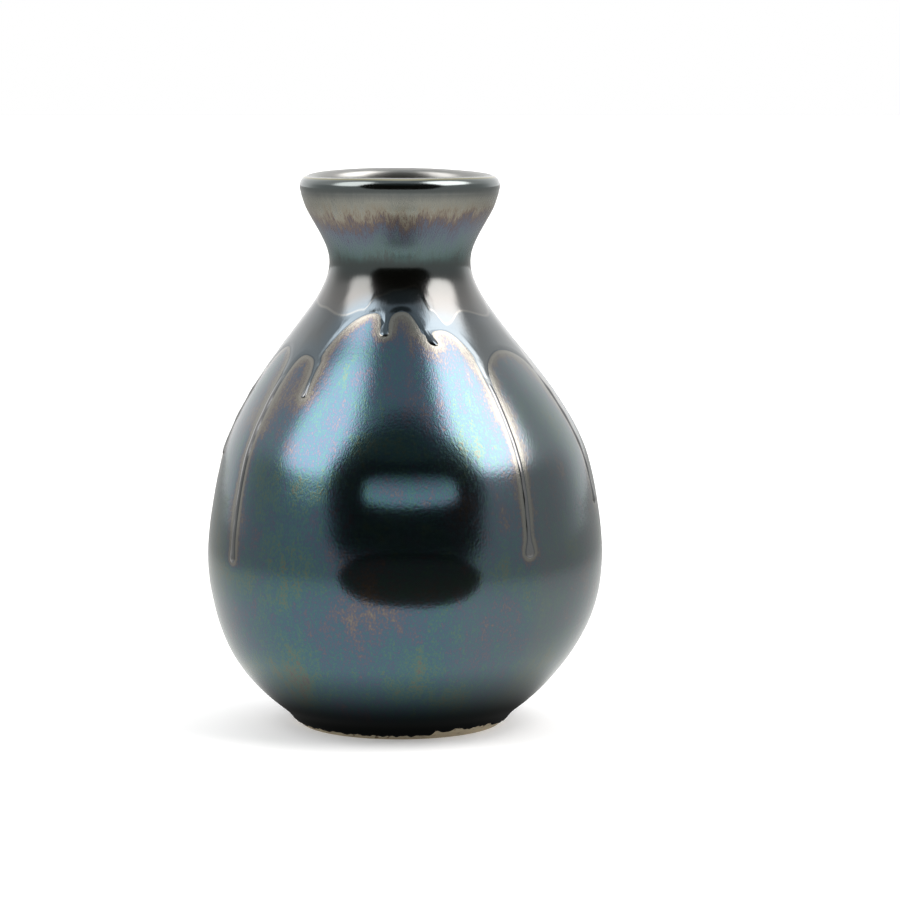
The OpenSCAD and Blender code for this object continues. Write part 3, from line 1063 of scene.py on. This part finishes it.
@dataclass
class GlazeMarks:
    """Works out the patterns that every outer glaze mesh carries."""

    skin: Skin
    curtain: Curtain
    overlap: Overlap
    edge_share: float = 0.28
    edge_start: float = -0.15
    crest: float = 0.03
    crest_at: float = 1.2
    crest_width: float = 0.8
    full_low: float = 90.0
    full_high: float = 114.0
    full_reach: float = 9.0
    fade_low: float = 131.5
    fade_high: float = 137.0
    off_edge_sink: float = 0.07
    faded_sink: float = 0.06
    window_knots: tuple[tuple[float, float], ...] = (
        (-72.0, 0.25), (-52.0, 0.75), (-34.0, 1.0), (8.0, 1.0), (22.0, 0.72), (36.0, 0.6), (44.0, 0.25),
        (75.0, 0.2), (100.0, 0.6), (135.0, 0.9), (165.0, 0.4), (190.0, 0.8), (222.0, 0.95), (255.0, 0.35),
    )

    def at(self, azimuth: Array, s: Array) -> dict[str, Array]:
        """Edge distance, height, distance above the upper line, window strength and the unrolled place."""
        height = self.skin.outline.at(s)[1]
        return {
            "edge": self.curtain.distance(azimuth, s),
            "height": height,
            "overlap": self.overlap.distance(azimuth, height),
            "window": periodic(azimuth, self.window_knots),
            "unrolled": self.skin.unrolled(azimuth, s),
        }

    def thickness(self, marks: dict[str, Array], full: float) -> Array:
        """How far the second glaze stands out: a low rounded edge that thickens up the shoulder.

        Args:
            marks: the marks at the points.
            full: the coat's even thickness in millimetres.

        Returns:
            The lift in millimetres, a little below the base glaze where there is none.
        """
        edge, height = marks["edge"], marks["height"]
        lip = self.edge_share * smoothstep(edge, self.edge_start, self.curtain.EDGE_RISE)
        lip = lip + self.crest * bump(edge, self.crest_at, self.crest_width)
        even = (1.0 - self.edge_share) * smoothstep(height, self.full_low, self.full_high)
        even = even * smoothstep(edge, 0.0, self.full_reach)
        step = self.overlap.step * smoothstep(marks["overlap"], -self.overlap.rise, self.overlap.rise)
        fade = 1.0 - smoothstep(height, self.fade_low, self.fade_high)
        under = self.off_edge_sink * (1.0 - smoothstep(edge, -0.5, -0.1)) + self.faded_sink * (1.0 - fade)
        return (full * (lip + even) + step * smoothstep(edge, 0.0, 1.0)) * fade - under


@dataclass
class BaseCoat:
    """The iridescent base glaze outside, from a ragged line above the foot to the top of the lip."""

    form: BottleForm
    columns: int = 560
    rows: int = 146
    back_rows: int = 26
    sink: float = 0.05
    roll: float = 0.9
    roll_rows: int = 8
    back_start: float = 0.25
    ragged: float = 0.16
    line_knots: tuple[tuple[float, float], ...] = (
        (-180.0, 1.2), (-150.0, 1.6), (-120.0, 1.0), (-95.0, 1.6), (-60.0, 0.85), (-20.0, 0.8),
        (10.0, 0.85), (16.0, 1.0), (19.0, 1.9), (24.0, 1.6), (31.0, 2.1), (40.0, 1.7), (52.0, 2.0),
        (63.0, 1.1), (95.0, 1.0), (130.0, 1.7), (155.0, 1.1),
    )

    def line(self, azimuth: Array) -> Array:
        """Height of the glaze's lower edge: slow knots with small ragged teeth."""
        a = np.radians(azimuth)
        teeth = np.sin(37 * a + 2.0 * np.sin(5 * a)) + 0.6 * np.sin(83 * a + 3.0 * np.sin(7 * a + 1.0))
        return periodic(azimuth, self.line_knots) + self.ragged * teeth

    def build(self, skin: Skin, marks: GlazeMarks, material: bpy.types.Material) -> None:
        """A closed shell: the seen face with a rolled lower edge, and its back, sunk into the clay."""
        outline, full = skin.outline, self.form.base_t
        azimuth = azimuths(self.columns)
        low = outline.s_at(self.line(azimuth))
        near = (np.linspace(0.0, 1.0, self.roll_rows)[:-1] ** 2 * self.roll)[:, None]
        share = np.linspace(0.0, 1.0, self.rows)[:, None]
        body = low + self.roll + (outline.length - low - self.roll) * share
        front = np.concatenate([low + near, body])
        back = np.linspace(1.0, 0.0, self.back_rows)[:, None]
        back = low + self.back_start + (outline.length - low - self.back_start) * back
        rise = np.clip((front - low) / self.roll, 0.0, 1.0)
        depth = -full * (1.0 - quarter_round(rise)) - self.sink * (rise <= 0)
        depth = np.concatenate([depth, np.full(back.shape, -full - self.sink)])
        s = np.concatenate([front, back])
        azimuth = np.repeat(azimuth, len(s), axis=0)
        points = skin.place(azimuth, s, depth)
        mesh = Lattice(points, marks.at(azimuth, s), wrap_rows=True).mesh("base_glaze_form")
        add_piece("base_coat", mesh, material, "base_glaze")


@dataclass
class ShoulderCoat:
    """The second glaze over the neck and shoulder, ending in arches."""

    form: BottleForm
    columns: int = 640
    rows: int = 116
    back_rows: int = 22
    skirt: float = 1.0
    smooth_reach: float = 4.0
    smooth_steps: int = 17
    hem: float = 2.6
    hem_sink: float = 0.07
    top_z: float = 137.4
    sink: float = 0.16

    def lower_edge(self, azimuth: Array, curtain: Curtain, low_z: float) -> Array:
        """Arc length just below the arches, kept smooth where the arches run down into the runs."""
        shifts = np.linspace(-self.smooth_reach, self.smooth_reach, self.smooth_steps)
        around = np.stack([curtain.edge_height(azimuth + d) for d in shifts])
        lowest = np.maximum(around.min(axis=0), low_z)
        return curtain.outline.s_at(lowest) - self.skirt

    def build(self, skin: Skin, marks: GlazeMarks, material: bpy.types.Material) -> None:
        """A closed shell: the seen face, and its back, sunk into the base glaze."""
        low_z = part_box("shoulder_glaze")[0].z / MM
        azimuth = azimuths(self.columns)
        low = self.lower_edge(azimuth, marks.curtain, low_z)
        top = skin.outline.s_at(self.top_z)
        share = np.linspace(0.0, 1.0, self.rows)[:, None]
        front = low + (top - low) * share
        back = low + (top - low) * np.linspace(1.0, 0.0, self.back_rows)[:, None]
        s = np.concatenate([front, back])
        azimuth = np.repeat(azimuth, len(s), axis=0)
        carried = marks.at(azimuth, s)
        lift = marks.thickness(carried, self.form.second_t)
        lift = (lift + self.hem_sink) * smoothstep(s - low, 0.0, self.hem) - self.hem_sink
        lift[self.rows:] = -self.sink
        points = skin.place(azimuth, s, lift)
        mesh = Lattice(points, carried, wrap_rows=True).mesh("shoulder_glaze_form")
        add_piece("shoulder_coat", mesh, material, "shoulder_glaze")


@dataclass
class RunRidge:
    """One run of glaze down the body, a slim rounded ridge that ends in a bead."""

    run: Run
    rows: int = 150
    columns: int = 22
    overlap_up: float = 2.2
    sink: float = 0.07
    thinnest: float = 0.06
    foot_spread: float = 1.5
    taper: float = 5.0

    def build(self, skin: Skin, marks: GlazeMarks, material: bpy.types.Material) -> None:
        """A closed ridge: rounded across, tapering into the curtain above and rounded off below."""
        run, outline = self.run, skin.outline
        s_tip, s_root = outline.s_at(run.tip_z), outline.s_at(run.root_z + self.overlap_up)
        t = np.linspace(0.0, 1.0, self.rows)[:, None]
        s = s_tip + (s_root - s_tip) * (0.5 - 0.5 * np.cos(np.pi * t))
        z = outline.at(s)[1]
        from_tip = s - s_tip
        cap = quarter_round(np.clip(from_tip / run.bead, 0.0, 1.0))
        half = run.half_width_at(z) * self.foot_spread * cap + 0.02
        swell = 1.0 + 0.4 * bump(from_tip, run.bead, 1.5 * run.bead)
        swell = swell + 0.12 * np.sin(0.9 * s + run.root_azimuth)
        fade = 1.0 - smoothstep(z, run.root_z - self.taper, run.root_z + self.overlap_up)
        crest = run.relief * swell * cap * fade
        across = np.linspace(-1.0, 1.0, self.columns)[None, :]
        top = crest * (1.0 - across**2) ** 2 - self.sink
        under = np.full_like(top, -self.sink - self.thinnest)
        lift = np.concatenate([top, under[:, ::-1]], axis=1)
        sideways = np.concatenate([half * across, half * across[:, ::-1]], axis=1)
        s = np.repeat(s, 2 * self.columns, axis=1)
        radius, z = outline.at(s)
        azimuth = run.azimuth_at(z) + np.degrees(sideways / radius)
        points = skin.place(azimuth, s, lift)
        ends = [points[i].mean(axis=0) for i in (0, -1)]
        carried = marks.at(azimuth, s)
        mesh = Lattice(points, carried, first_pole=ends[0], last_pole=ends[1]).mesh(f"{run.node}_form")
        add_piece(f"{run.node}_ridge", mesh, material, run.node)


# --------------------------------------------------------------------------------- the studio

@dataclass(frozen=True)
class SkyPatch:
    """A soft-edged patch of the surroundings: its middle and half sizes in degrees, and its light.

    The patch's edge is where the powers of the two shares add up to one.
    """

    azimuth: float
    elevation: float
    half_width: float
    half_height: float
    light: Colour
    softness: float = 0.25
    power: float = 4.0

    def over(self, graph: Graph, azimuth: Value, elevation: Value, below: Value | Colour) -> Value:
        """Lays the patch over the light below it."""
        across = (azimuth - self.azimuth) / self.half_width
        up = (elevation - self.elevation) / self.half_height
        across, up = (across * across).power(self.power / 2), (up * up).power(self.power / 2)
        share = (across + up).step(1.0 + self.softness, 1.0 - self.softness)
        return graph.mix(share, below, self.light)


def look_along(way: Array) -> tuple[float, float, float]:
    """Turn that points an object's -Z along a direction with its Y up."""
    flat = math.hypot(way[0], way[1])
    return (math.atan2(flat, -way[2]), 0.0, math.atan2(-way[0], way[1]))


@dataclass(frozen=True)
class BowedCard:
    """A lens-shaped strip on a drum round the bottle.

    azimuth and half_width are its middle and half width in degrees; reach is the drum's radius, low and
    high are its edges and spine its corners' height, in millimetres; it has a light at both edges.
    """

    name: str
    azimuth: float
    half_width: float
    reach: float
    low: float
    high: float
    spine: float
    light_low: Colour
    light_high: Colour
    columns: int = 48
    roundness: float = 2.5

    def lattice(self) -> tuple[Array, Array]:
        """The strip's points in metres and its quads: its edges leave the spine along a fat ellipse."""
        share = np.linspace(-1.0, 1.0, self.columns + 1)
        x, y = turned(self.azimuth + self.half_width * share, np.full_like(share, self.reach))
        swell = (1.0 - np.abs(share) ** self.roundness) ** (1.0 / self.roundness)
        edges = (self.spine + (edge - self.spine) * swell for edge in (self.low, self.high))
        points = np.concatenate([np.stack([x, y, z], axis=1) for z in edges])
        i = np.arange(self.columns)
        above = i + len(share)
        return points * MM, np.stack([i, i + 1, above + 1, above], axis=1)


@dataclass
class Studio:
    """A white table, a white tent with two softboxes and a dark room in front, and the camera.

    Three cards are seen in the glaze alone: what it mirrors of the table, a dark bay and a window.
    """

    floor_size: float = 8.0
    floor_white: float = 0.80
    camera_distance: float = 0.972
    camera_height: float = 0.1925
    lens: float = 153.5
    sensor_width: float = 36.0
    aim: tuple[float, float, float] = (0.0127, 0.0, 0.070)
    table_light: Colour = (1.25, 1.25, 1.22)
    far_share: float = 0.54
    far_reach: tuple[float, float] = (0.45, 0.10)
    # A painted contact shadow under the foot, in the mirrored table.
    foot_shadow_share: float = 0.04
    foot_shadow_reach: tuple[float, float] = (0.030, 0.057)
    card_height: float = 0.0004
    tent: Colour = (1.35, 1.35, 1.35)
    patches: tuple[SkyPatch, ...] = (
        SkyPatch(0.0, 30.0, 128.0, 70.0, (1.0, 1.0, 1.0), 0.4),
        SkyPatch(0.0, 84.0, 130.0, 29.0, (0.52, 0.56, 0.58), 0.3),
        SkyPatch(0.0, 0.0, 118.0, 24.0, (0.52, 0.54, 0.54), 0.6),
        SkyPatch(-67.0, 42.0, 24.0, 24.0, (4.5, 4.4, 4.35), 0.7, 2.8),
        SkyPatch(71.0, 46.0, 30.0, 23.0, (6.7, 6.5, 6.4), 0.6, 2.8),
        SkyPatch(1.0, 24.5, 51.0, 32.0, (0.018, 0.017, 0.013), 0.12, 2.2),
        SkyPatch(0.0, 45.0, 36.0, 9.0, (0.07, 0.085, 0.085), 0.7, 2.2),
    )
    bowed_cards: tuple[BowedCard, ...] = (
        BowedCard("dark_bay", 2.5, 27.5, 75.0, 28.0, 50.5, 43.0,
                  (0.080, 0.066, 0.038), (0.050, 0.044, 0.034)),
        BowedCard("window_glow", 3.5, 20.0, 78.0, 71.0, 88.0, 74.5,
                  (1.20, 1.34, 1.32), (0.03, 0.04, 0.04)),
    )

    def build(self) -> None:
        """Adds everything in turn."""
        self._floor()
        self._floor_in_glaze()
        for card in self.bowed_cards:
            self._bowed_card(card)
        self._sky()
        self._camera()
        view = bpy.context.scene.view_settings
        view.view_transform = "Standard"
        view.look = "None"

    def _card(self, name: str, points: Array, faces: Array, material: bpy.types.Material) -> bpy.types.Object:
        """A stage card with the given points in metres and faces."""
        mesh = bpy.data.meshes.new(name)
        mesh.from_pydata(points.tolist(), [], faces.tolist())
        mesh.materials.append(material)
        card = bpy.data.objects.new(name, mesh)
        bpy.context.scene.collection.objects.link(card)
        card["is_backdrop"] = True
        return card

    def _table_card(self, name: str, height: float, material: bpy.types.Material) -> bpy.types.Object:
        """A flat square stage card as large as the table."""
        half = self.floor_size / 2
        flat = [(-half, -half), (half, -half), (half, half), (-half, half)]
        corners = np.array([(x, y, height) for x, y in flat])
        return self._card(name, corners, np.array([(0, 1, 2, 3)]), material)

    def _floor(self) -> None:
        """A plain white table top."""
        made, g = new_material("table_white")
        g.surface({"Base Color": (self.floor_white,) * 3 + (1.0,), "Roughness": 0.7,
                   "Specular IOR Level": 0.2, "Emission Color": (1.0, 1.0, 1.0, 1.0),
                   "Emission Strength": 0.25}, {})
        self._table_card("table", 0.0, made)

    def _floor_in_glaze(self) -> None:
        """What the glaze mirrors of the table: a painted contact shadow under the foot, bright round it,
        dimmer further out.
        """
        made, g = new_material("table_reflection")
        x, y = g.axes(g.object_place(), "XY")
        reach = (x * x + y * y).power(0.5)
        level = self.far_share + (1.0 - self.far_share) * reach.step(*self.far_reach)
        # Painted contact shadow: the mirrored table goes nearly black close under the foot.
        level = level * (self.foot_shadow_share + (1.0 - self.foot_shadow_share) * reach.step(*self.foot_shadow_reach))
        g.glow(g.mix((level / max(self.table_light)).clamped(), (0.0, 0.0, 0.0), self.table_light))
        self._only_in_glaze(self._table_card("table_in_glaze", self.card_height, made))

    def _only_in_glaze(self, card: bpy.types.Object) -> None:
        """Leaves a card to be seen in the glaze alone."""
        card.visible_camera = card.visible_diffuse = card.visible_shadow = False
        card.visible_transmission = card.visible_volume_scatter = False

    def _bowed_card(self, card: BowedCard) -> None:
        """A glowing strip round the belly's front, seen in the glaze alone."""
        made, g = new_material(card.name)
        z, = g.axes(g.object_place(), "Z")
        g.glow(g.mix(z.step(card.low * MM, card.high * MM), card.light_low, card.light_high))
        self._only_in_glaze(self._card(card.name, *card.lattice(), made))

    def _sky(self) -> None:
        """The tent and its patches, by direction; the camera itself sees plain white."""
        world = bpy.data.worlds.new("white_tent")
        bpy.context.scene.world = world
        world.use_nodes = True
        g = Graph(world.node_tree)
        way = g.node("ShaderNodeTexCoord", {}, {}, "Generated")
        x, y, z = g.axes(way, "XYZ")
        azimuth = x.angle_to(-y)
        elevation = z.angle_to((x * x + y * y).power(0.5))
        light: Value | Colour = self.tent
        for patch in self.patches:
            light = patch.over(g, azimuth, elevation, light)
        seen = g.node("ShaderNodeLightPath", {}, {}, "Is Camera Ray")
        light = g.mix(seen, light, (1.0, 1.0, 1.0))
        shader = g.node("ShaderNodeBackground", {}, {"Color": light, "Strength": 1.0})
        g.node("ShaderNodeOutputWorld", {}, {"Surface": shader})

    def _camera(self) -> None:
        """A long lens a little above the bottle, looking slightly down at it."""
        aim = np.array(self.aim)
        place = np.array([0.0, -self.camera_distance, self.camera_height])
        way = (aim - place) / np.linalg.norm(aim - place)
        lens = bpy.data.cameras.new("camera")
        lens.lens, lens.sensor_width = self.lens, self.sensor_width
        camera = bpy.data.objects.new("camera", lens)
        camera.location = place
        camera.rotation_euler = look_along(way)
        bpy.context.scene.collection.objects.link(camera)
        bpy.context.scene.camera = camera


# --------------------------------------------------------------------------------------- main

RUN_SHAPES: dict[str, dict[str, float]] = {
    "run_front_left": {"half_width": 0.95, "bead": 1.25, "relief": 0.28},
    "stub_front_left": {"half_width": 0.6, "bead": 0.75, "relief": 0.26},
    "stub_centre": {"half_width": 0.8, "bead": 1.1, "relief": 0.30},
    "stub_slanted": {"half_width": 0.75, "bead": 1.0, "relief": 0.28},
    "run_front_right": {"half_width": 0.7, "bead": 1.5, "relief": 0.19},
    "run_right_side": {"half_width": 0.95, "bead": 1.3, "relief": 0.34},
    "stub_back_right": {"relief": 0.36},
    "run_back_right": {"relief": 0.38},
    "stub_back": {"relief": 0.34},
    "run_back_left": {"relief": 0.40},
    "stub_back_left": {"relief": 0.36},
    "run_left_side": {"half_width": 0.95, "bead": 1.3, "relief": 0.34},
}
ARCHES: list[Arch] = [
    Arch(96.4, 0.45, 88.0, 93.0), Arch(107.0, 0.80, 94.0, 104.4), Arch(107.4, 0.5, 104.4, 102.6),
    Arch(102.8, 0.42, 102.6, 91.0), Arch(97.2, 0.45), Arch(99.0, 0.5), Arch(96.0, 0.45), Arch(98.5, 0.5),
    Arch(97.0, 0.55), Arch(100.0, 0.5), Arch(98.0, 0.45), Arch(97.5, 0.5),
]


def box_as_lists(bounds: Any) -> list[list[float]]:
    """A box's two corners as plain numbers."""
    return [[float(x) for x in corner] for corner in bounds]


def main() -> None:
    """Reads the frame's box, builds the studio, then builds the bottle piece by piece to the box's size."""
    cad_box = box_as_lists(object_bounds())
    Studio().build()
    width, height = (cad_box[1][0] - cad_box[0][0]) / MM, cad_box[1][2] / MM
    form = BottleForm(height=height, belly_r=width / 2)
    hand = ThrowersHand()
    outside, inside = form.outside(), form.inside()
    skin, lining = Skin(outside, hand), Skin(inside, hand)
    runs = [run_from_frame(node, **shape) for node, shape in RUN_SHAPES.items()]
    curtain = Curtain(runs, ARCHES, outside)
    marks = GlazeMarks(skin, curtain, Overlap())
    glaze = IridescentGlaze(outside.length)
    ClayBody(form, hand).build(outside, inside)
    LinerCoat(form).build(lining)
    BaseCoat(form).build(skin, marks, glaze.material(Coat.BASE))
    ShoulderCoat(form).build(skin, marks, glaze.material(Coat.SECOND))
    run_finish = glaze.material(Coat.RUN)
    for run in runs:
        RunRidge(run).build(skin, marks, run_finish)


if __name__ == "__main__":
    main()
